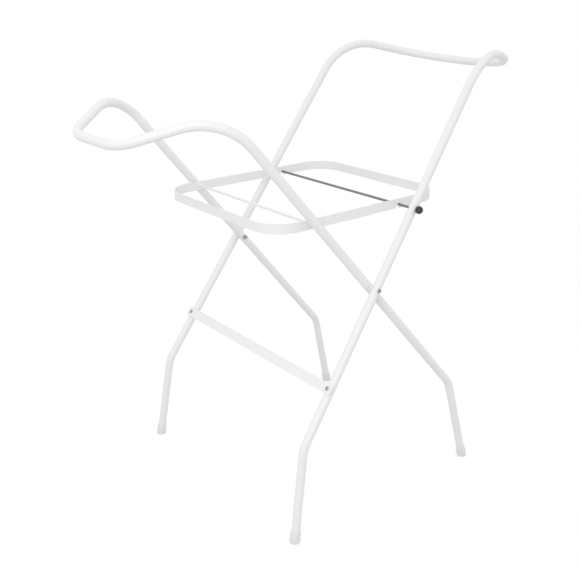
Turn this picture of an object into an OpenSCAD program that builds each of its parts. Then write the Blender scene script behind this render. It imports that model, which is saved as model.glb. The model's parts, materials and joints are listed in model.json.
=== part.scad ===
// Folding baby bath stand: two bent tube frames cross like scissors and carry a flat
// strip ring that holds the tub. The ring swings on a rod across the low frame and hooks
// over a lock rod across the tall frame, which keeps the stand open.
// +X points to the tall hoop, +Z up, the floor is z = 0. "Left" is the -Y side.

/* [Tube] */
// Outer diameter of the frame tube
tube_d = 20; // [17:0.5:24]
// Wall thickness of the frame tube
tube_wall = 1.5; // [1:0.1:2.2]
// Radius of the centre line in each knee
knee_radius = 60; // [40:5:90]
// Length of the swaged hoop end inside its leg
spigot_length = 35; // [20:1:50]
// Straight tube between the leg's top end and the hoop's first bend
joint_below_bend = 15; // [5:1:40]

/* [Crossing] */
// Height of the bolts on which the frames cross
pivot_height = 540; // [440:5:650]
// Clear distance between the two tubes at the crossing
pivot_gap = 6; // [4:0.5:10]
// Shank diameter of the pivot bolt
bolt_d = 6; // [5:0.5:8]
// Diameter of the bolt's domed head
bolt_head_d = 11; // [9:0.5:14]
// Height of the bolt's domed head
bolt_head_h = 4; // [3:0.5:6]
// Width of the hexagon socket in the bolt's head
bolt_socket = 4; // [3:0.5:5]
// Depth of that socket from the top of the head
bolt_socket_depth = 2.5; // [1.5:0.5:3]
// Width of the nut across its flats
nut_flats = 10; // [9:0.5:13]
// Diameter of the round face that the nut's chamfer leaves
nut_face_d = 9.5; // [8:0.1:12]
// Thickness of the nut
nut_h = 5; // [4:0.5:7]
// How far the bolt's end stands out of the nut
bolt_end = 1.5; // [0.5:0.5:4]
// Outer diameter of the saddle washer between the tubes
saddle_d = 18; // [14:0.5:20]
// How far the saddle's wings reach along the tall tube's sides
saddle_wing = 3; // [1:0.5:5]

/* [Tall frame] */
// Lean of the tall legs from the vertical, in degrees
tall_lean = 34; // [28:0.5:40]
// Centre plane to the tall tube's centre line, at the crossing
tall_half_width = 276; // [230:1:340]
// How much further out the tall tube stands at the floor
tall_splay = 29; // [10:1:40]
// Crossing to the middle of the tall foot, along the floor
tall_foot_reach = 248.5; // [200:0.5:320]
// Height of the knee in the tall legs
tall_knee_height = 220; // [150:5:300]
// Rise from the crossing to where the shank line and the hoop's side line meet
tall_bend_rise = 503; // [400:1:600]
// Radius of the centre line in the tall hoop's first bend
tall_bend_radius = 141; // [80:1:150]
// Crossing to the hoop's end bar, along the floor
tall_bar_reach = 574; // [540:1:650]
// Rise from the crossing to the tall hoop's end bar
tall_bar_rise = 444; // [380:1:540]
// How much nearer the centre plane the end bar's corner point is than the first bend's
tall_corner_inset = 88; // [40:1:110]
// Radius of the centre line in the tall hoop's corners
tall_corner_radius = 220; // [120:1:220]

/* [Low frame] */
// Lean of the low legs from the vertical, in degrees
low_lean = 41; // [36:0.5:46]
// How much further out the low tube stands at the floor
low_splay = 31; // [10:1:40]
// Crossing to the middle of the low foot, along the floor
low_foot_reach = 332; // [280:1:400]
// Height of the knee in the low legs
low_knee_height = 226; // [150:5:300]
// Rise from the crossing to where the shank line and the hoop's side line meet
low_bend_rise = 411; // [330:1:500]
// Radius of the centre line in the low hoop's first bend
low_bend_radius = 124; // [60:1:150]
// Crossing to the hoop's end bar, along the floor
low_bar_reach = 519; // [500:1:600]
// Rise from the crossing to the low hoop's end bar
low_bar_rise = 349; // [280:1:420]
// How much nearer the centre plane the end bar's corner point is than the first bend's
low_corner_inset = 126.4; // [80:0.1:140]
// Radius of the centre line in the low hoop's corners
low_corner_radius = 96; // [60:1:110]

/* [Tub ring] */
// Height of the ring's strip
strip_height = 22; // [18:1:30]
// Thickness of the ring's strip
strip_thick = 2; // [1.5:0.1:3]
// Length of the ring between the middles of its end strips
ring_length = 497; // [440:1:540]
// How far the ring's front end lies ahead of the rod it swings on
ring_front = 101.5; // [85:0.5:120]
// Radius of the ring's corners, to the middle of the strip
ring_corner = 68; // [40:1:80]
// Rise of the ring towards its rear end, in degrees
ring_pitch = 1.3; // [0:0.1:3]
// Ring rod to the rivets that join the two strips
rivet_offset = 153; // [100:1:180]
// Length over which the two strips lap
lap_length = 34; // [24:1:50]
// Diameter of the rivet's shank
rivet_d = 4; // [3:0.5:5]
// Diameter of the rivet's low head
rivet_head_d = 7; // [6:0.5:9]
// Height of the rivet's low head
rivet_head_h = 1; // [0.6:0.1:1.5]
// Widening of each slot side towards its mouth
slot_flare = 1.2; // [0.5:0.1:2.5]

/* [Rods] */
// Diameter of the ring rod and the lock rod
rod_d = 6; // [5:0.5:8]
// Rise from the crossing to the rod on which the ring swings
ring_rod_rise = 164; // [140:1:190]
// Rise from the crossing to the rod that locks the ring
lock_rod_rise = 167; // [150:1:190]
// Outer diameter of the bushes beside the ring
bush_d = 12; // [10:0.5:16]
// Clear distance between the ring and the low tube
bush_length = 7; // [5:0.5:12]
// How far the bush's wings reach along the low tube's sides
bush_wing = 1; // [0.5:0.5:3]
// Diameter of the balls on the lock rod
knob_d = 18; // [14:0.5:26]
// Depth of the flat on a ball, round the rod
knob_flat_depth = 0.6; // [0.2:0.1:1.5]
// Depth of the rod's hole in a ball
knob_bore_depth = 12; // [8:0.5:14]
// Room between the rod's end and the bottom of that hole
knob_bore_room = 1; // [0.5:0.5:2]

/* [Leg brace] */
// Height of the bar's middle line where it crosses the tall legs
brace_height = 338; // [300:1:420]
// Width of the bar
brace_width = 24; // [18:1:30]
// Thickness of the bar
brace_thick = 2.5; // [2:0.1:4]
// How far the bar runs on beyond each screw
brace_overrun = 14; // [8:1:20]
// Radius of the bar's corners
brace_corner = 6; // [2:0.5:8]
// Shank diameter of the bar's screws
screw_d = 4.5; // [3.5:0.1:6]
// Diameter of the screw's domed head
screw_head_d = 10; // [8:0.5:12]
// Height of the screw's domed head
screw_head_h = 3; // [2:0.5:5]
// Length of the screw under its head
screw_length = 12; // [8:1:16]
// Span of the cross recess in the screw's head
screw_cross = 5; // [3:0.5:6]
// Width of the recess's arms
screw_cross_arm = 1.2; // [0.8:0.1:2]
// Depth of the recess from the top of the head
screw_cross_depth = 1.8; // [1:0.1:2.5]

/* [Foot caps] */
// Outer diameter of the caps
cap_d = 24; // [22:0.5:30]
// Height of the caps along the leg
cap_length = 28; // [20:1:40]
// Thickness of the cap under the tube's end, at the middle
cap_floor = 4; // [3.5:0.5:6]
// Radius round the cap's lower edge
cap_edge = 3; // [1:0.5:4]
// Height of the tapered rim at the cap's top
cap_taper = 7; // [2:0.5:10]

/* [Fits] */
// Gap per side between pieces that are pushed or screwed together
snug = 0.05; // [0.03:0.01:0.1]
// Gap per side where a piece turns on a bolt or rod
running = 0.06; // [0.03:0.01:0.1]
// Gap between faces that move past each other
slip = 0.3; // [0.2:0.05:0.6]

/* [Hidden] */
$fn = 64;
white = "#f1f2f2";
plastic = "#e6e8e8";
steel = "#6f7374";
dark = "#34373a";
tube_r = tube_d / 2;
bore_r = tube_r - tube_wall;
spigot_r = bore_r - snug;
low_half_width = tall_half_width - tube_d - pivot_gap;
centre_x = (tall_bar_reach - low_bar_reach) / 2;
tall_bend_height = pivot_height + tall_bend_rise;
tall_bar_height = pivot_height + tall_bar_rise;
low_bend_height = pivot_height + low_bend_rise;
low_bar_height = pivot_height + low_bar_rise;
ring_rod_height = pivot_height + ring_rod_rise;
lock_rod_height = pivot_height + lock_rod_rise;
through = 2; // how far each cut runs on past its piece
bend_swell = 0.05; // how much fuller a bar is in its bends, each way
run_lap = 0.5; // how far a straight run reaches into the bend beside it
least_run = 1; // straight tube that is always left between a hoop's bends
dome_sides = 96; // a head's dome is a small part of its ball, so the ball is drawn finer
hole_reach = tube_r + through;

// Distance from the centre plane to a tube's centre line at height z, and its place along X
function tall_side(z) = tall_half_width + tall_splay * (1 - z / pivot_height);
function low_side(z) = low_half_width + low_splay * (1 - z / pivot_height);
function tall_x(z) = (z - pivot_height) * tan(tall_lean);
function low_x(z) = (pivot_height - z) * tan(low_lean);

// Rise of each tube towards the centre plane, per length seen from the side, and how far
// from its centre line a round flat face of radius r, square to Y, just clears the tube
tall_slope = tall_splay / pivot_height * cos(tall_lean);
low_slope = low_splay / pivot_height * cos(low_lean);
function beside(slope, r) = tube_r / cos(atan(slope)) + slope * r;

function unit(v) = v / norm(v);

// For a path of points: direction of run i, angle that the path turns through at point i,
// axis of that turn, length that its arc takes from each run beside it, and the roll about
// run i from one turn's axis to the next one's
function heading(points, i) = unit(points[i + 1] - points[i]);
function turn(points, i) = acos(heading(points, i - 1) * heading(points, i));
function turn_axis(points, i) = unit(cross(heading(points, i - 1), heading(points, i)));
function setback(points, radii, i) = radii[i] == 0 ? 0 : radii[i] * tan(turn(points, i) / 2);
function roll(points, i) = i + 2 > len(points) - 1 ? 0
    : atan2(turn_axis(points, i + 1) * cross(heading(points, i), turn_axis(points, i)),
            turn_axis(points, i + 1) * turn_axis(points, i));

// Share of its radii that a hoop's bends can have, which is all of them while straight tube
// is left in the middle of the end bar, before point 1, and between points 1 and 2
function bend_share(points, radii) = min(1,
    (norm(points[1] - points[0]) - least_run) / setback(points, radii, 1),
    (norm(points[2] - points[1]) - least_run) / (setback(points, radii, 1) + setback(points, radii, 2)));

// Centre lines on the left side: foot, knee, the point where the hoop's shoulder meets
// the leg, the first bend and the corner of the end bar
tall_foot = [-tall_foot_reach, -tall_side(0), 0];
tall_knee = [tall_x(tall_knee_height), -tall_side(tall_knee_height), tall_knee_height];
tall_bend = [tall_x(tall_bend_height), -tall_side(tall_bend_height), tall_bend_height];
tall_corner = [tall_bar_reach, tall_bend.y + tall_corner_inset, tall_bar_height];
tall_shank = unit(tall_bend - tall_knee);
tall_joint = tall_bend - tall_shank
    * (setback([tall_knee, tall_bend, tall_corner], [0, tall_bend_radius, 0], 1) + joint_below_bend);

low_foot = [low_foot_reach, -low_side(0), 0];
low_knee = [low_x(low_knee_height), -low_side(low_knee_height), low_knee_height];
low_bend = [low_x(low_bend_height), -low_side(low_bend_height), low_bend_height];
low_corner = [-low_bar_reach, low_bend.y + low_corner_inset, low_bar_height];
low_shank = unit(low_bend - low_knee);
low_joint = low_bend - low_shank
    * (setback([low_knee, low_bend, low_corner], [0, low_bend_radius, 0], 1) + joint_below_bend);

// The nut's round face, beside the low tube on the left
nut_y = -low_half_width + beside(low_slope, nut_face_d / 2) + slip;

// Rods: places along X, and the ring and balls beside the tubes
ring_rod_x = low_x(ring_rod_height);
lock_rod_x = tall_x(lock_rod_height);
ring_half_width = low_side(ring_rod_height) - tube_r - bush_length - strip_thick / 2;
knob_flat = knob_d / 2 - knob_flat_depth;
knob_flat_r = sqrt(knob_d * knob_d / 4 - knob_flat * knob_flat);
knob_y = tall_side(lock_rod_height) + beside(tall_slope, knob_flat_r) + snug + knob_flat;

// The lock rod as the ring sees it, and the direction in which it leaves the ring's slot
rod_step = [lock_rod_x - ring_rod_x, lock_rod_height - ring_rod_height];
seat = [rod_step.x * cos(ring_pitch) + rod_step.y * sin(ring_pitch),
        rod_step.y * cos(ring_pitch) - rod_step.x * sin(ring_pitch)];
ring_swing_ratio = 1.68; // ring swing for each degree that the frames close
exit_run = ring_rod_height - pivot_height - (ring_swing_ratio - 1) * rod_step.y;
exit_rise = (ring_swing_ratio - 1) * rod_step.x - ring_rod_x;
slot_lean = atan(exit_run / exit_rise) + ring_pitch;

// Front face of the tall tubes at the brace: outward direction, and the bar's middle
brace_out = [-cos(tall_lean), 0, sin(tall_lean)];
brace_middle = [tall_x(brace_height), 0, brace_height] + brace_out * (tube_r + snug);
brace_half = tall_side(brace_height);

// Puts the stand's middle over the origin
module placed() { translate([-centre_x, 0, 0]) children(); }

module right_side() { mirror([0, 1, 0]) children(); }

module both_sides() {
    children();
    mirror([0, 1, 0]) children();
}

// Stands children on origin, with +Z along axis and their +Y along side, square to axis
module upright(origin, axis, side) {
    x_axis = unit(cross(side, axis));
    y_axis = cross(axis, x_axis);
    multmatrix([
        [x_axis.x, y_axis.x, axis.x, origin.x],
        [x_axis.y, y_axis.y, axis.y, origin.y],
        [x_axis.z, y_axis.z, axis.z, origin.z],
        [0, 0, 0, 1]
    ]) children();
}

// Bends a bar to a path, as a bending machine does: a straight run, an arc of radii[i] at
// point i, a roll about the bar, then the rest of the path. The first child is the section
// of the runs, the second that of the arcs, a hair fuller, in which the runs end.
module bend_on(points, radii, swaged, i) {
    last = len(points) - 2;
    run = norm(points[i + 1] - points[i]) - setback(points, radii, i) - setback(points, radii, i + 1);
    before = i > 0 ? run_lap : 0;
    after = i < last ? run_lap : 0;
    translate([0, 0, -before]) linear_extrude(before + run + after) children(0);
    if (i < last) {
        radius = radii[i + 1];
        angle = turn(points, i + 1);
        translate([radius, 0, run]) {
            rotate([90, 0, 180]) rotate_extrude(angle = angle) translate([radius, 0]) children(1);
            rotate([0, angle, 0]) translate([-radius, 0, 0]) rotate(roll(points, i + 1))
                bend_on(points, radii, swaged, i + 1) {
                    children(0);
                    children(1);
                }
        }
    }
    if (i == last && swaged) translate([0, 0, run]) swaged_end();
}

module bent(points, radii, swaged = false) {
    upright(points[0], heading(points, 0), turn_axis(points, 1)) bend_on(points, radii, swaged, 0) {
        children(0);
        children(1);
    }
}

// Swaged end of a hoop: a shoulder that rests on the leg's end, then the part inside the leg
module swaged_end() {
    inner = spigot_r - tube_wall;
    lead = tube_wall / 2;
    tip = tube_wall + spigot_length;
    rotate_extrude() polygon([
        [inner, 0], [tube_r, 0], [tube_r, tube_wall - lead / 2], [tube_r - lead / 2, tube_wall],
        [spigot_r, tube_wall], [spigot_r, tip - lead], [spigot_r - lead, tip], [inner, tip]
    ]);
}

module bent_tube(points, radii, swaged = false) {
    bent(points, radii, swaged) {
        tube_section(0);
        tube_section(bend_swell);
    }
}

module tube_section(swell) {
    difference() {
        circle(tube_r + swell);
        circle(bore_r - swell);
    }
}

// Cylinder along Y from y = from to y = to
module crosswise(x, from, to, z, d) {
    translate([x, from, z]) rotate([-90, 0, 0]) cylinder(d = d, h = to - from);
}

// Domed head, flat at z = 0, that rises along +Z
module domed_head(d, h) {
    ball_r = (d * d / 4 + h * h) / (2 * h);
    intersection() {
        translate([0, 0, h - ball_r]) sphere(ball_r, $fn = dome_sides);
        cylinder(d = d + through, h = h + through);
    }
}

module hexagon_bar(flats, h) {
    cylinder(d = flats / cos(30), h = h, $fn = 6);
}

// Cross recess for a screwdriver: arms that narrow downwards, from z = 0 at its bottom
module cross_recess() {
    intersection() {
        union() {
            cylinder(d1 = screw_cross / 2, d2 = screw_cross, h = screw_cross_depth);
            translate([0, 0, screw_cross_depth]) cylinder(d = screw_cross, h = through);
        }
        for (turn = [0, 90]) rotate(turn) translate([-screw_cross, -screw_cross_arm / 2, 0])
            cube([2 * screw_cross, screw_cross_arm, screw_cross_depth + through]);
    }
}

// Leg from the floor cap to its square top end, on the left side
module leg(foot, knee, joint) {
    shin = unit(knee - foot);
    bent_tube([foot + shin * cap_floor, knee, joint], [0, knee_radius, 0]);
}

module tall_leg() {
    color(white) placed() difference() {
        leg(tall_foot, tall_knee, tall_joint);
        crosswise(0, -tall_half_width - hole_reach, -tall_half_width + hole_reach,
            pivot_height, bolt_d + 2 * snug);
        crosswise(lock_rod_x, -tall_side(lock_rod_height) - hole_reach,
            -tall_side(lock_rod_height) + hole_reach, lock_rod_height, rod_d + 2 * snug);
        brace_screw_place() translate([0, 0, -tube_r]) cylinder(d = screw_d + 2 * snug, h = hole_reach);
    }
}

module low_leg() {
    color(white) placed() difference() {
        leg(low_foot, low_knee, low_joint);
        crosswise(0, -low_half_width - hole_reach, -low_half_width + hole_reach,
            pivot_height, bolt_d + 2 * running);
        crosswise(ring_rod_x, -low_side(ring_rod_height), -low_side(ring_rod_height) + hole_reach,
            ring_rod_height, rod_d + 2 * snug);
    }
}

// Hoop from the middle of its end bar out to a swaged end on each side
module hoop(joint, bend, corner, bend_radius, corner_radius) {
    path = [[corner.x, 0, corner.z], corner, bend, joint + unit(bend - joint) * tube_wall];
    radii = [0, corner_radius, bend_radius, 0];
    both_sides() bent_tube(path, radii * bend_share(path, radii), true);
}

module tall_hoop() {
    color(white) placed() hoop(tall_joint, tall_bend, tall_corner, tall_bend_radius, tall_corner_radius);
}

module low_hoop() {
    color(white) placed() hoop(low_joint, low_bend, low_corner, low_bend_radius, low_corner_radius);
}

// Moulded cap on a leg's end, cut flat where it stands on the floor
module foot_cap(foot, knee) {
    cap_r = cap_d / 2;
    rim_r = tube_r + snug;
    color(plastic) placed() intersection() {
        upright(foot, unit(knee - foot), [0, 1, 0]) rotate_extrude() difference() {
            union() {
                translate([0, -cap_edge]) square([cap_r - cap_edge, cap_edge]);
                translate([cap_r - cap_edge, 0]) circle(cap_edge);
                polygon([[0, 0], [cap_r, 0], [cap_r, cap_length - cap_taper],
                    [rim_r + tube_wall / 2, cap_length], [0, cap_length]]);
            }
            translate([0, cap_floor]) square([rim_r, cap_length]);
            translate([-cap_d, -cap_d]) square([cap_d, 3 * cap_d]);
        }
        translate([foot.x, foot.y, 0] - [cap_d, cap_d, 0]) cube([2 * cap_d, 2 * cap_d, 2 * cap_length]);
    }
}

// Bolt through both tubes on one side: head outside, thread end past the nut
module pivot_bolts() {
    head_y = -tall_half_width - beside(tall_slope, bolt_head_d / 2) - snug;
    end_y = nut_y + nut_h + bolt_end;
    color(dark) placed() both_sides() {
        crosswise(0, head_y, end_y, pivot_height, bolt_d);
        translate([0, head_y, pivot_height]) rotate([90, 0, 0]) difference() {
            domed_head(bolt_head_d, bolt_head_h);
            translate([0, 0, bolt_head_h - bolt_socket_depth]) hexagon_bar(bolt_socket, bolt_head_h);
        }
    }
}

// Two cones base to base, at 30 degrees to the nut's faces, that take its corners off
module nut_chamfer() {
    rotate_extrude() polygon([
        [0, 0], [nut_face_d / 2, 0], [nut_face_d / 2 + nut_h / 2 / tan(30), nut_h / 2],
        [nut_face_d / 2, nut_h], [0, nut_h]
    ]);
}

module pivot_nuts() {
    color(dark) placed() both_sides()
        translate([0, nut_y, pivot_height]) rotate([-90, 0, 0]) difference() {
            intersection() {
                hexagon_bar(nut_flats, nut_h);
                nut_chamfer();
            }
            translate([0, 0, -through]) cylinder(d = bolt_d + 2 * snug, h = nut_h + 2 * through);
        }
}

// Washer whose outer side is hollowed to sit on the tall tube
module pivot_spacer() {
    inner_y = -low_half_width - beside(low_slope, saddle_d / 2) - slip;
    outer_y = -tall_half_width + tube_r - saddle_wing;
    color(plastic) placed() difference() {
        crosswise(0, outer_y, inner_y, pivot_height, saddle_d);
        crosswise(0, outer_y - through, inner_y + through, pivot_height, bolt_d + 2 * snug);
        upright(tall_knee, tall_shank, [0, 1, 0]) cylinder(r = tube_r + snug, h = norm(tall_joint - tall_knee));
    }
}

// Left screw's place: z = 0 on the tall tube's front face, +Z outward
module brace_screw_place() {
    upright(brace_middle + [0, -brace_half, 0] - brace_out * snug, brace_out, [0, 1, 0]) children();
}

module rounded_bar(width, length, corner) {
    square([width, length - 2 * corner], center = true);
    square([width - 2 * corner, length], center = true);
    for (x = [-1, 1], y = [-1, 1])
        translate([x * (width / 2 - corner), y * (length / 2 - corner)]) circle(corner);
}

module leg_brace() {
    color(white) placed() difference() {
        upright(brace_middle, brace_out, [0, 1, 0]) linear_extrude(brace_thick)
            rounded_bar(brace_width, 2 * (brace_half + brace_overrun), brace_corner);
        both_sides() brace_screw_place() translate([0, 0, -through])
            cylinder(d = screw_d + 2 * snug, h = brace_thick + 2 * through);
    }
}

module brace_screws() {
    under_head = snug + brace_thick;
    color(dark) placed() both_sides() brace_screw_place() {
        translate([0, 0, under_head - screw_length]) cylinder(d = screw_d, h = screw_length);
        translate([0, 0, under_head]) difference() {
            domed_head(screw_head_d, screw_head_h);
            translate([0, 0, screw_head_h - screw_cross_depth]) cross_recess();
        }
    }
}

// Dark steel rod across the tall frame, its ends inside the two balls
module lock_rod() {
    end_y = knob_y - knob_flat + knob_bore_depth - knob_bore_room;
    color(steel) placed() crosswise(lock_rod_x, -end_y, end_y, lock_rod_height, rod_d);
}

module lock_knob() {
    color(dark) placed() translate([lock_rod_x, -knob_y, lock_rod_height]) rotate([-90, 0, 0]) difference() {
        sphere(d = knob_d);
        translate([0, 0, knob_flat]) cylinder(d = knob_d, h = knob_d);
        translate([0, 0, knob_flat - knob_bore_depth]) cylinder(d = rod_d + 2 * snug, h = knob_d);
    }
}

// White rod across the low frame, its ends inside the tubes
module ring_rod() {
    end_y = low_side(ring_rod_height) + bore_r / 2;
    color(white) placed() crosswise(ring_rod_x, -end_y, end_y, ring_rod_height, rod_d);
}

// Bush between the ring and the low tube, hollowed to sit on the tube
module ring_spacer() {
    inner_y = -ring_half_width - strip_thick / 2 - slip;
    outer_y = -low_side(ring_rod_height) + tube_r - bush_wing;
    color(plastic) placed() difference() {
        crosswise(ring_rod_x, outer_y, inner_y, ring_rod_height, bush_d);
        crosswise(ring_rod_x, outer_y - through, inner_y + through, ring_rod_height, rod_d + 2 * snug);
        upright(low_knee, low_shank, [0, 1, 0]) cylinder(r = tube_r + snug, h = norm(low_joint - low_knee));
    }
}

// Ring's own frame: origin on the ring rod, +X to the rear, tipped by the pitch
module ring_frame() {
    placed() translate([ring_rod_x, 0, ring_rod_height]) rotate([0, -ring_pitch, 0]) children();
}

// U of flat strip on edge, closed at x = end and open at x = cut
module bent_strip(end, cut, half_width) {
    both_sides() bent([[end, 0, 0], [end, -half_width, 0], [cut, -half_width, 0]], [0, ring_corner, 0]) {
        strip_section(0);
        strip_section(bend_swell);
    }
}

module strip_section(swell) {
    square([strip_thick + 2 * swell, strip_height + 2 * swell], center = true);
}

module ring_front_strip() {
    wall = ring_half_width + strip_thick;
    color(white) ring_frame() difference() {
        bent_strip(-ring_front, rivet_offset + lap_length / 2, ring_half_width);
        crosswise(0, -wall, wall, 0, rod_d + 2 * running);
        crosswise(rivet_offset, -wall, wall, 0, rivet_d + 2 * snug);
    }
}

// Rear U, one strip thickness inside the front one, slotted from below for the lock rod
module ring_rear_strip() {
    wall = ring_half_width + strip_thick;
    seat_r = rod_d / 2 + slip;
    mouth_r = seat_r + 2 * slot_flare;
    color(white) ring_frame() difference() {
        bent_strip(ring_length - ring_front, rivet_offset - lap_length / 2, ring_half_width - strip_thick);
        crosswise(rivet_offset, -wall, wall, 0, rivet_d + 2 * snug);
        crosswise(seat.x, -wall, wall, seat.y, 2 * seat_r);
        translate([seat.x, wall, seat.y]) rotate([90, 0, 0]) linear_extrude(2 * wall) rotate(-slot_lean)
            polygon([[-seat_r, 0], [seat_r, 0], [mouth_r, -strip_height], [-mouth_r, -strip_height]]);
    }
}

module ring_rivets() {
    outer_y = -ring_half_width - strip_thick / 2;
    inner_y = outer_y + 2 * strip_thick;
    color(white) ring_frame() both_sides() {
        crosswise(rivet_offset, outer_y, inner_y, 0, rivet_d);
        translate([rivet_offset, outer_y, 0]) rotate([90, 0, 0]) domed_head(rivet_head_d, rivet_head_h);
        translate([rivet_offset, inner_y, 0]) rotate([-90, 0, 0]) domed_head(rivet_head_d, rivet_head_h);
    }
}

tall_leg();  // tall_leg_left
right_side() tall_leg();  // tall_leg_right
tall_hoop();
foot_cap(tall_foot, tall_knee);  // tall_foot_left
right_side() foot_cap(tall_foot, tall_knee);  // tall_foot_right
low_leg();  // low_leg_left
right_side() low_leg();  // low_leg_right
low_hoop();
foot_cap(low_foot, low_knee);  // low_foot_left
right_side() foot_cap(low_foot, low_knee);  // low_foot_right
pivot_bolts();
pivot_nuts();
pivot_spacer();  // pivot_spacer_left
right_side() pivot_spacer();  // pivot_spacer_right
leg_brace();
brace_screws();
lock_rod();
lock_knob();  // lock_knob_left
right_side() lock_knob();  // lock_knob_right
ring_rod();
ring_spacer();  // ring_spacer_left
right_side() ring_spacer();  // ring_spacer_right
ring_front_strip();
ring_rear_strip();
ring_rivets();
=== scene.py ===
"""Folding baby bath stand: finishes, finer fasteners and foot caps, light and camera round the
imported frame. All lengths are in metres. +X points to the tall hoop, and the floor is z = 0."""
import json
import math

import bmesh
import bpy
from mathutils import Matrix, Vector


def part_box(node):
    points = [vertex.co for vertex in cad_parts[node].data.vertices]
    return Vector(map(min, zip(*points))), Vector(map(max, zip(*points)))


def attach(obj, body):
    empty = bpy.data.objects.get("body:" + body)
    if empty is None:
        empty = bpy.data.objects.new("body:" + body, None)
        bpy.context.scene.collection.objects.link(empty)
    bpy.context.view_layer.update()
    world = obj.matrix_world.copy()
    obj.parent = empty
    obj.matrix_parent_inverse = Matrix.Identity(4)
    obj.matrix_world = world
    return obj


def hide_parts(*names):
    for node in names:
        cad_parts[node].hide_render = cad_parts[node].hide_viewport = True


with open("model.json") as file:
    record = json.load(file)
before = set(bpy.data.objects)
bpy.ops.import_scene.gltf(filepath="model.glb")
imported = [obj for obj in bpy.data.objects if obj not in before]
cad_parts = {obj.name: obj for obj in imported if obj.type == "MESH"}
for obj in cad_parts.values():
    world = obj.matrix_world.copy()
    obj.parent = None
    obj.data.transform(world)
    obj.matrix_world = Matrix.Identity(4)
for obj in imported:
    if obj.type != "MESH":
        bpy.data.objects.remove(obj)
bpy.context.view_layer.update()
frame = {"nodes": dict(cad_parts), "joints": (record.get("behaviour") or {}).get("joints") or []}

MM = 0.001

# Camera: where the photograph was taken from, in the stand's own frame
CAMERA_PLACE = Vector((-1.24051, -1.54746, 1.18408))
CAMERA_AZIMUTH = math.radians(-37.401)
CAMERA_ELEVATION = math.radians(20.251)
CAMERA_ROLL = math.radians(0.095)
CAMERA_LENS_MM = 51.964
CAMERA_SENSOR_MM = 36

# Light: an even white room, and a weak softbox to the left of the camera and a little above it,
# which gives the glosses and leaves the feet slightly darker than the hoops
ROOM_LIGHT = 0.87
SOFTBOX_PLACE = Vector((-1.7, -1.3, 1.5))
SOFTBOX_AIM = Vector((-0.1, 0, 0.6))
SOFTBOX_SIZE = 1.0
SOFTBOX_WATTS = 8

# Floor: a disc just under the feet, that looks white where nothing shades it
FLOOR_RADIUS = 9.0
FLOOR_Z = -0.2 * MM
FLOOR_GLOW = 0.61

# Turned shapes: the steps of a full turn and of a head's dome, the distance at which points are
# welded, and how near a radius a point counts as lying on it
TURN_STEPS = 96
DOME_STEPS = 10
WELD = 0.001 * MM
ON_RADIUS = 0.01 * MM

# Rounded edges of the new pieces: their width on metal and on the caps, their steps, and the
# least angle that counts as an edge
METAL_EDGE = 0.15 * MM
CAP_LIP_EDGE = 0.3 * MM
EDGE_STEPS = 2
EDGE_ANGLE = math.radians(35)

# Threads: rings instead of a helix, coarse enough to show. The depth is from crest to root
THREAD_PITCH = 1.0 * MM
THREAD_DEPTH = 0.55 * THREAD_PITCH

# Pivot bolts: outer sizes as in the frame. BOLT_END is what stands out of the nut
BOLT_D = 6 * MM
BOLT_END = 1.5 * MM
BOLT_HEAD_D = 11 * MM
BOLT_HEAD_H = 4 * MM
BOLT_THREAD = 13 * MM
BOLT_END_CHAMFER = 0.8 * MM
BOLT_SOCKET = 4 * MM
BOLT_SOCKET_DEPTH = 2.5 * MM
BOLT_SOCKET_CONE = 0.6 * MM

# Pivot nuts: outer sizes as in the frame. NUT_FACE_D is the flat round face inside the chamfer
NUT_FLATS = 10 * MM
NUT_FACE_D = 9.5 * MM
NUT_H = 5 * MM
NUT_CLEARANCE = 0.05 * MM
NUT_COUNTERSINK = 0.6 * MM
NUT_CHAMFER = math.radians(30)
NUT_CHAMFER_RINGS = 6
NUT_CHAMFER_RISE = 0.3 * MM

# Brace screws: outer sizes as in the frame. The neck is bare, and the thread stops above the tip
SCREW_D = 4.5 * MM
SCREW_HEAD_D = 10 * MM
SCREW_HEAD_H = 3 * MM
SCREW_LENGTH = 12 * MM
SCREW_NECK = 2 * MM
SCREW_THREAD_STOP = 4 * MM
SCREW_TIP = 3 * MM
SCREW_TIP_INSET = 0.3 * MM
SCREW_CROSS = 5 * MM
SCREW_CROSS_ARM = 1.2 * MM
SCREW_CROSS_DEPTH = 1.8 * MM
BRACE_THICK = 2.5 * MM
BRACE_TILT = math.radians(34)
BRACE_OUT = Vector((-math.cos(BRACE_TILT), 0, math.sin(BRACE_TILT)))

# Foot caps: outer sizes as in the frame. CAP_FLOOR is the solid end under the tube, and CAP_SOFT
# is half the height over which the shoulder turns
CAP_D = 24 * MM
CAP_LENGTH = 28 * MM
CAP_TAPER = 7 * MM
CAP_EDGE = 3 * MM
CAP_EDGE_STEPS = 6
CAP_FLOOR = 4 * MM
CAP_BORE_D = 20.1 * MM
CAP_LIP = 0.75 * MM
CAP_SOFT = 0.5 * MM

# Where each left leg's middle line meets the floor, and where it bends at its knee
TALL_FOOT = Vector((-276, -305, 0)) * MM
TALL_KNEE = Vector((-243.343, -293.185, 220)) * MM
LOW_FOOT = Vector((304.5, -281, 0)) * MM
LOW_KNEE = Vector((245.456, -268.026, 226)) * MM

# Sockets of a Mix node, whose names repeat: inputs for the factor, two values and two colours,
# and the colour that comes out
FACTOR, VALUE_A, VALUE_B, COLOUR_A, COLOUR_B = 0, 2, 3, 6, 7
MIXED_COLOUR = 2


def linear(colour):
    """The linear RGBA of an sRGB hex colour."""
    channels = [int(colour[i:i + 2], 16) / 255 for i in (1, 3, 5)]
    return [c / 12.92 if c <= 0.04045 else ((c + 0.055) / 1.055) ** 2.4 for c in channels] + [1.0]


def per_mm(size):
    """The texture scale at which a pattern repeats about every size millimetres."""
    return 1 / (size * MM)


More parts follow.
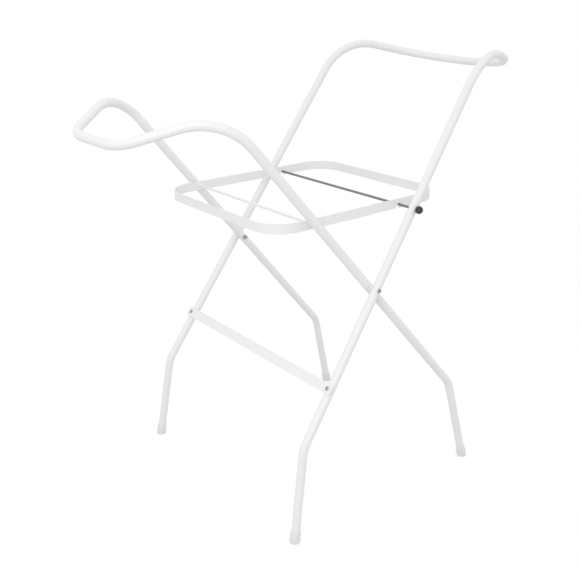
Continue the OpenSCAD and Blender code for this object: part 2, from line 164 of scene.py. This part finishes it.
def add(tree, kind, inputs=None, **settings):
    """Adds a node. inputs gives its sockets, by name or number, a value or a node's output."""
    node = tree.nodes.new("ShaderNode" + kind)
    for name, value in settings.items():
        setattr(node, name, value)
    for key, value in (inputs or {}).items():
        if isinstance(value, bpy.types.NodeSocket):
            tree.links.new(value, node.inputs[key])
        else:
            node.inputs[key].default_value = value
    return node


def blank(name):
    """A new material, its node tree, and the Object coordinates, which are all it holds so far."""
    material = bpy.data.materials.new(name)
    material.use_nodes = True
    material.node_tree.nodes.clear()
    return material, material.node_tree, add(material.node_tree, "TexCoord").outputs["Object"]


def white_powder_coat():
    """Polyester powder baked on steel: an even white skin with a soft gloss. Its orange peel, drawn
    3 mm wide where the real one is 1 mm, breaks up the highlights, and it greys a little where it
    is thin."""
    material, tree, place = blank("white_powder_coat")
    cover = add(tree, "TexNoise",
                {"Vector": place, "Scale": per_mm(90), "Detail": 3.0}).outputs[0]
    peel = add(tree, "TexNoise",
               {"Vector": place, "Scale": per_mm(3), "Detail": 2.0}).outputs[0]
    colour = add(tree, "Mix", {FACTOR: cover, COLOUR_A: linear("#f4f4f5"),
                               COLOUR_B: linear("#f8f8f9")}, data_type="RGBA").outputs[MIXED_COLOUR]
    gloss = add(tree, "MapRange", {"Value": cover, "From Min": 0.3, "From Max": 0.7,
                                   "To Min": 0.3, "To Max": 0.42}).outputs[0]
    bump = add(tree, "Bump", {"Height": peel, "Strength": 0.18, "Distance": 0.12 * MM}).outputs[0]
    shader = add(tree, "BsdfPrincipled", {"Base Color": colour, "Roughness": gloss,
                                          "Normal": bump, "IOR": 1.5})
    add(tree, "OutputMaterial", {"Surface": shader.outputs[0]})
    return material


def moulded_polypropylene():
    """Injection-moulded polypropylene, natural white: waxy and a shade greyer than the tubes, with
    the fine grain of a spark-eroded mould, drawn 1.5 mm coarse to show, and faint flow clouds."""
    material, tree, place = blank("moulded_polypropylene")
    flow = add(tree, "TexNoise",
               {"Vector": place, "Scale": per_mm(14), "Detail": 2.0}).outputs[0]
    grain = add(tree, "TexNoise",
                {"Vector": place, "Scale": per_mm(1.5), "Detail": 3.0}).outputs[0]
    colour = add(tree, "Mix", {FACTOR: flow, COLOUR_A: linear("#ebebec"),
                               COLOUR_B: linear("#f1f1f2")}, data_type="RGBA").outputs[MIXED_COLOUR]
    bump = add(tree, "Bump", {"Height": grain, "Strength": 0.5, "Distance": 0.15 * MM}).outputs[0]
    shader = add(tree, "BsdfPrincipled", {"Base Color": colour, "Roughness": 0.48,
                                          "Normal": bump, "IOR": 1.49})
    add(tree, "OutputMaterial", {"Surface": shader.outputs[0]})
    return material


def drawn_steel_rod():
    """Bright-drawn steel, dulled by its zinc: dark grey with lines along the rod that streak the
    reflections. They are about 60 mm long, and drawn 0.8 mm apart where the real ones are finer."""
    material, tree, place = blank("drawn_steel_rod")
    along = add(tree, "Mapping",
                {"Vector": place, "Scale": (per_mm(0.8), per_mm(60), per_mm(0.8))}).outputs[0]
    lines = add(tree, "TexNoise", {"Vector": along, "Scale": 1.0, "Detail": 2.0}).outputs[0]
    cloud = add(tree, "TexNoise",
                {"Vector": place, "Scale": per_mm(25), "Detail": 3.0}).outputs[0]
    streaks = add(tree, "Mix", {FACTOR: 0.6, VALUE_A: cloud, VALUE_B: lines}).outputs[0]
    colour = add(tree, "Mix", {FACTOR: streaks, COLOUR_A: linear("#676a6a"),
                               COLOUR_B: linear("#9b9e9e")}, data_type="RGBA").outputs[MIXED_COLOUR]
    rough = add(tree, "MapRange", {"Value": lines, "From Min": 0.2, "From Max": 0.8,
                                   "To Min": 0.28, "To Max": 0.5}).outputs[0]
    bump = add(tree, "Bump", {"Height": lines, "Strength": 0.7, "Distance": 0.05 * MM}).outputs[0]
    shader = add(tree, "BsdfPrincipled", {"Base Color": colour, "Metallic": 1.0,
                                          "Roughness": rough, "Normal": bump})
    add(tree, "OutputMaterial", {"Surface": shader.outputs[0]})
    return material


def zinc_plated_steel():
    """Barrel-plated zinc, passivated: mid grey and satin, with darker, duller patches where the
    fasteners have rubbed on each other in the barrel."""
    material, tree, place = blank("zinc_plated_steel")
    patches = add(tree, "TexNoise",
                  {"Vector": place, "Scale": per_mm(3), "Detail": 4.0}).outputs[0]
    colour = add(tree, "Mix", {FACTOR: patches, COLOUR_A: linear("#8c8e90"),
                               COLOUR_B: linear("#b2b4b6")}, data_type="RGBA").outputs[MIXED_COLOUR]
    rough = add(tree, "MapRange", {"Value": patches, "From Min": 0.3, "From Max": 0.7,
                                   "To Min": 0.46, "To Max": 0.32}).outputs[0]
    bump = add(tree, "Bump", {"Height": patches, "Strength": 0.2, "Distance": 0.05 * MM}).outputs[0]
    shader = add(tree, "BsdfPrincipled", {"Base Color": colour, "Metallic": 1.0,
                                          "Roughness": rough, "Normal": bump})
    add(tree, "OutputMaterial", {"Surface": shader.outputs[0]})
    return material


def black_phenolic():
    """Compression-moulded phenolic, tumbled: a deep black ball with a clear gloss and a very
    slight haze."""
    material, tree, place = blank("black_phenolic")
    haze = add(tree, "TexNoise",
               {"Vector": place, "Scale": per_mm(5), "Detail": 4.0}).outputs[0]
    colour = add(tree, "Mix", {FACTOR: haze, COLOUR_A: linear("#121314"),
                               COLOUR_B: linear("#1b1c1d")}, data_type="RGBA").outputs[MIXED_COLOUR]
    rough = add(tree, "MapRange", {"Value": haze, "From Min": 0.3, "From Max": 0.7,
                                   "To Min": 0.16, "To Max": 0.28}).outputs[0]
    bump = add(tree, "Bump", {"Height": haze, "Strength": 0.15, "Distance": 0.05 * MM}).outputs[0]
    shader = add(tree, "BsdfPrincipled", {"Base Color": colour, "Roughness": rough,
                                          "Normal": bump, "IOR": 1.6})
    add(tree, "OutputMaterial", {"Surface": shader.outputs[0]})
    return material


def seen_directly(tree):
    """1 for rays from the camera, and for those that a gloss or a glass sends on."""
    path = add(tree, "LightPath").outputs
    both = add(tree, "Math", {0: path["Is Camera Ray"], 1: path["Is Glossy Ray"]},
               operation="MAXIMUM").outputs[0]
    return add(tree, "Math", {0: both, 1: path["Is Transmission Ray"]},
               operation="MAXIMUM").outputs[0]


def matt_white_paper():
    """Background paper, a very light grey with faint clouds, which throws light back up at the
    stand. Seen directly, it glows just enough to look as white as the room, and takes a faint
    shadow."""
    material, tree, place = blank("matt_white_paper")
    fibre = add(tree, "TexNoise",
                {"Vector": place, "Scale": per_mm(400), "Detail": 2.0}).outputs[0]
    tone = add(tree, "Mix", {FACTOR: fibre, COLOUR_A: linear("#cfcfcf"),
                             COLOUR_B: linear("#d4d4d4")}, data_type="RGBA").outputs[MIXED_COLOUR]
    paper = add(tree, "BsdfDiffuse", {"Color": tone}).outputs[0]
    shade = add(tree, "BsdfDiffuse", {"Color": linear("#b2b2b2")}).outputs[0]
    glow = add(tree, "Emission", {"Strength": FLOOR_GLOW}).outputs[0]
    seen = add(tree, "AddShader", {0: shade, 1: glow}).outputs[0]
    look = add(tree, "MixShader", {0: seen_directly(tree), 1: paper, 2: seen}).outputs[0]
    add(tree, "OutputMaterial", {"Surface": look})
    return material


def turned(profile, closed=False):
    """A solid turned about Z from (radius, height) points. They start and end on the axis, or else
    closed joins the last to the first."""
    bm = bmesh.new()
    verts = [bm.verts.new((radius, 0, height)) for radius, height in profile]
    following = verts[1:] + verts[:1] if closed else verts[1:]
    edges = [bm.edges.new(ends) for ends in zip(verts, following)]
    bmesh.ops.spin(bm, geom=verts + edges, axis=(0, 0, 1), cent=(0, 0, 0), angle=math.tau,
                   steps=TURN_STEPS, use_merge=True)
    bmesh.ops.remove_doubles(bm, verts=bm.verts, dist=WELD)
    bmesh.ops.recalc_face_normals(bm, faces=bm.faces)
    return bm


def reshaped(bm, radius, outline):
    """Moves the points at a radius above z = 0 to the radius that outline gives for their angle."""
    for vert in bm.verts:
        reach = vert.co.xy.length
        if vert.co.z > 0 and abs(reach - radius) < ON_RADIUS:
            vert.co.xy *= outline(math.atan2(vert.co.y, vert.co.x)) / reach


def hexagon(flats, angle):
    """Radius at an angle of a hexagon with that width across its flats, and a corner at angle 0."""
    sixth = math.tau / 6
    return flats / 2 / math.cos(angle % sixth - sixth / 2)


def cross(span, arm, angle):
    """Radius at an angle of a cross with arms of that span and width."""
    quarter = math.tau / 4
    off = abs((angle + quarter / 2) % quarter - quarter / 2)
    on_side = arm / 2 / math.sin(off) if off > 0 else math.inf
    return min(span / 2 / math.cos(off), on_side)


def dome(diameter, height, first):
    """Points down a head's dome, which has its height on the axis, from radius first to its rim."""
    ball = (diameter * diameter / 4 + height * height) / (2 * height)
    radii = [first + (diameter / 2 - first) * i / DOME_STEPS for i in range(DOME_STEPS + 1)]
    return [(r, height - ball + math.sqrt(ball * ball - r * r)) for r in radii]


def thread(diameter, start, end):
    """Points down a thread, drawn as rings a pitch apart."""
    points = []
    for i in range(round((start - end) / THREAD_PITCH)):
        points += [(diameter / 2, start - THREAD_PITCH * i),
                   (diameter / 2 - THREAD_DEPTH, start - THREAD_PITCH * (i + 0.5))]
    return points


def button_bolt():
    """Button-head bolt, the head above z = 0, with a hexagon socket and a thread at the far end."""
    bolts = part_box("pivot_bolts")
    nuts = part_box("pivot_nuts")
    shank = nuts[0].y + NUT_H + BOLT_END - (bolts[0].y + BOLT_HEAD_H)
    floor = BOLT_HEAD_H - BOLT_SOCKET_DEPTH
    bm = turned([(0, floor - BOLT_SOCKET_CONE), (BOLT_SOCKET / 2, floor)]
                + dome(BOLT_HEAD_D, BOLT_HEAD_H, BOLT_SOCKET / 2) + [(BOLT_D / 2, 0)]
                + thread(BOLT_D, -shank + BOLT_THREAD, -shank)
                + [(BOLT_D / 2 - BOLT_END_CHAMFER, -shank), (0, -shank)])
    reshaped(bm, BOLT_SOCKET / 2, lambda angle: hexagon(BOLT_SOCKET, angle))
    return bm


def hexagon_nut():
    """Nut on z = 0, its corners chamfered and its bore countersunk, alike on both faces."""
    bore = BOLT_D / 2 + NUT_CLEARANCE
    heights = [NUT_CHAMFER_RISE * i for i in range(NUT_CHAMFER_RINGS)]
    outside = [(NUT_FACE_D / 2 + h / math.tan(NUT_CHAMFER), h) for h in heights]
    outside += [(r, NUT_H - h) for r, h in reversed(outside)]
    bm = turned([(bore, NUT_COUNTERSINK), (bore + NUT_COUNTERSINK, 0)] + outside
                + [(bore + NUT_COUNTERSINK, NUT_H), (bore, NUT_H - NUT_COUNTERSINK)], closed=True)
    for vert in bm.verts:
        reach = vert.co.xy.length
        side = hexagon(NUT_FLATS, math.atan2(vert.co.y, vert.co.x))
        if reach > side:
            vert.co.xy *= side / reach
    return bm


def domed_screw():
    """Self-cutting screw, the head above z = 0, with a cross recess, a thread and a drill tip."""
    floor = SCREW_HEAD_H - SCREW_CROSS_DEPTH
    tip = -SCREW_LENGTH
    bm = turned([(0, floor), (SCREW_CROSS / 4, floor)]
                + dome(SCREW_HEAD_D, SCREW_HEAD_H, SCREW_CROSS / 2) + [(SCREW_D / 2, 0)]
                + thread(SCREW_D, -SCREW_NECK, tip + SCREW_THREAD_STOP)
                + [(SCREW_D / 2 - SCREW_TIP_INSET, tip + SCREW_TIP), (0, tip)])
    for span in (SCREW_CROSS / 2, SCREW_CROSS):
        reshaped(bm, span / 2, lambda angle: cross(span, SCREW_CROSS_ARM, angle))
    return bm


def stood(bm, place, along):
    """Moves a bmesh to place, and turns its +Z to a direction and its +X into the XZ plane."""
    lies_along_y = abs(along.y) > 0.5
    side = Vector((1, 0, 0)) if lies_along_y else Vector((0, 1, 0)).cross(along)
    side.normalize()
    turn = Matrix((side, along.cross(side), along)).transposed().to_4x4()
    bmesh.ops.transform(bm, matrix=Matrix.Translation(place) @ turn, verts=bm.verts)


def fitted(name, bm, edge, body, slot, node):
    """Makes a piece of a bmesh, its sharp edges rounded, that stands for the frame's node."""
    bmesh.ops.recalc_face_normals(bm, faces=bm.faces)
    mesh = bpy.data.meshes.new(name)
    bm.to_mesh(mesh)
    bm.free()
    mesh.materials.append(FINISHES[slot])
    mesh.shade_smooth()
    piece = bpy.data.objects.new(name, mesh)
    bpy.context.scene.collection.objects.link(piece)
    rounded = piece.modifiers.new("rounded_edges", "BEVEL")
    rounded.width = edge
    rounded.segments = EDGE_STEPS
    rounded.limit_method = "ANGLE"
    rounded.angle_limit = EDGE_ANGLE
    rounded.harden_normals = True
    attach(piece, body)
    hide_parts(node)


def fastener_pair(name, bm, place, along, node):
    """A fastener at place on the left side, its +Z turned to a direction, and its mirror image on
    the right."""
    stood(bm, place, along)
    bmesh.ops.mirror(bm, geom=bm.verts[:] + bm.edges[:] + bm.faces[:], axis="Y", merge_dist=-1)
    fitted(name, bm, METAL_EDGE, "tall_frame", "dark_fastener", node)


def foot_cap(name, foot, knee, body, node):
    """Moulded cap on the leg that comes down from knee to foot: a rounded skirt, a tapered rim with
    a thin lip, the leg's bore, and the bottom cut flat where it stands."""
    radius = CAP_D / 2
    bore = CAP_BORE_D / 2
    lip = bore + CAP_LIP
    shoulder = CAP_LENGTH - CAP_TAPER
    turns = [math.radians(90 * i / CAP_EDGE_STEPS) for i in range(CAP_EDGE_STEPS + 1)]
    skirt = [(radius - CAP_EDGE * (1 - math.sin(turn)), -CAP_EDGE * math.cos(turn))
             for turn in turns]
    taper = [(radius + (lip - radius) * rise / CAP_TAPER, shoulder + rise)
             for rise in (CAP_SOFT, CAP_TAPER - CAP_SOFT, CAP_TAPER)]
    bm = turned([(0, -CAP_EDGE)] + skirt + [(radius, 2 * CAP_SOFT), (radius, shoulder - CAP_SOFT)]
                + taper + [(bore, CAP_LENGTH), (bore, CAP_FLOOR), (0, CAP_FLOOR)])
    stood(bm, foot, (knee - foot).normalized())
    cut = bmesh.ops.bisect_plane(bm, geom=bm.verts[:] + bm.edges[:] + bm.faces[:], dist=WELD,
                                 plane_co=(0, 0, 0), plane_no=(0, 0, 1), clear_inner=True)
    outline = [part for part in cut["geom_cut"] if isinstance(part, bmesh.types.BMEdge)]
    bmesh.ops.edgeloop_fill(bm, edges=outline)
    fitted(name, bm, CAP_LIP_EDGE, body, "moulded_cap", node)


# Finishes, by the frame's material slots
FINISHES = {
    "powder_coat": white_powder_coat(),
    "moulded_cap": moulded_polypropylene(),
    "rod_steel": drawn_steel_rod(),
    "dark_fastener": zinc_plated_steel(),
    "black_ball": black_phenolic(),
}
for node in frame["nodes"].values():
    for holder in node.material_slots:
        holder.material = FINISHES[holder.material.name.split(".")[0]]

# Fasteners: the undersides of the heads and the outer faces of the nuts are where the frame's are
pivot = Vector(frame["joints"][0]["pos_m"])
head_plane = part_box("pivot_bolts")[0].y + BOLT_HEAD_H
fastener_pair("pivot_bolt_set", button_bolt(), Vector((pivot.x, head_plane, pivot.z)),
              Vector((0, -1, 0)), "pivot_bolts")
nut_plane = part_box("pivot_nuts")[0].y
fastener_pair("pivot_nut_set", hexagon_nut(), Vector((pivot.x, nut_plane, pivot.z)),
              Vector((0, 1, 0)), "pivot_nuts")
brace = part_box("leg_brace")
screw_place = (brace[0] + brace[1]) / 2 + BRACE_OUT * BRACE_THICK / 2
screw_place.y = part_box("brace_screws")[0].y + SCREW_HEAD_D / 2
fastener_pair("brace_screw_set", domed_screw(), screw_place, BRACE_OUT, "brace_screws")

# Foot caps
for frame_name, foot, knee in (("tall", TALL_FOOT, TALL_KNEE), ("low", LOW_FOOT, LOW_KNEE)):
    for side_name, hand in (("left", 1), ("right", -1)):
        across = Vector((1, hand, 1))
        foot_cap(f"{frame_name}_cap_{side_name}", foot * across, knee * across,
                 f"{frame_name}_frame", f"{frame_name}_foot_{side_name}")

# Floor
ground = bmesh.new()
bmesh.ops.create_circle(ground, cap_ends=True, segments=TURN_STEPS, radius=FLOOR_RADIUS)
bmesh.ops.translate(ground, vec=(0, 0, FLOOR_Z), verts=ground.verts)
floor_mesh = bpy.data.meshes.new("floor")
ground.to_mesh(floor_mesh)
ground.free()
floor_mesh.materials.append(matt_white_paper())
floor_disc = bpy.data.objects.new("floor", floor_mesh)
bpy.context.scene.collection.objects.link(floor_disc)

# Room light: an even white dome, whose strength is 1 where it is seen directly
room = bpy.data.worlds.new("studio_room")
room.use_nodes = True
room.node_tree.nodes.clear()
level = add(room.node_tree, "MapRange", {"Value": seen_directly(room.node_tree),
                                         "To Min": ROOM_LIGHT, "To Max": 1.0}).outputs[0]
walls = add(room.node_tree, "Background", {"Color": linear("#ffffff"), "Strength": level})
add(room.node_tree, "OutputWorld", {"Surface": walls.outputs[0]})
bpy.context.scene.world = room

# Softbox
softbox = bpy.data.lights.new("softbox", "AREA")
softbox.shape = "DISK"
softbox.size = SOFTBOX_SIZE
softbox.energy = SOFTBOX_WATTS
softbox_stand = bpy.data.objects.new("softbox", softbox)
softbox_stand.location = SOFTBOX_PLACE
softbox_stand.rotation_mode = "QUATERNION"
softbox_stand.rotation_quaternion = (SOFTBOX_AIM - SOFTBOX_PLACE).to_track_quat("-Z", "Y")
bpy.context.scene.collection.objects.link(softbox_stand)

# Camera
lens = bpy.data.cameras.new("camera")
lens.lens = CAMERA_LENS_MM
lens.sensor_width = CAMERA_SENSOR_MM
camera = bpy.data.objects.new("camera", lens)
back = Vector((math.sin(CAMERA_AZIMUTH) * math.cos(CAMERA_ELEVATION),
               -math.cos(CAMERA_AZIMUTH) * math.cos(CAMERA_ELEVATION),
               math.sin(CAMERA_ELEVATION)))
level_right = Vector((math.cos(CAMERA_AZIMUTH), math.sin(CAMERA_AZIMUTH), 0))
level_up = back.cross(level_right)
right = level_right * math.cos(CAMERA_ROLL) + level_up * math.sin(CAMERA_ROLL)
up = level_up * math.cos(CAMERA_ROLL) - level_right * math.sin(CAMERA_ROLL)
turned_to_stand = Matrix((right, up, back)).transposed().to_4x4()
camera.matrix_world = Matrix.Translation(CAMERA_PLACE) @ turned_to_stand
bpy.context.scene.collection.objects.link(camera)
bpy.context.scene.camera = camera
bpy.context.scene.view_settings.view_transform = "Standard"
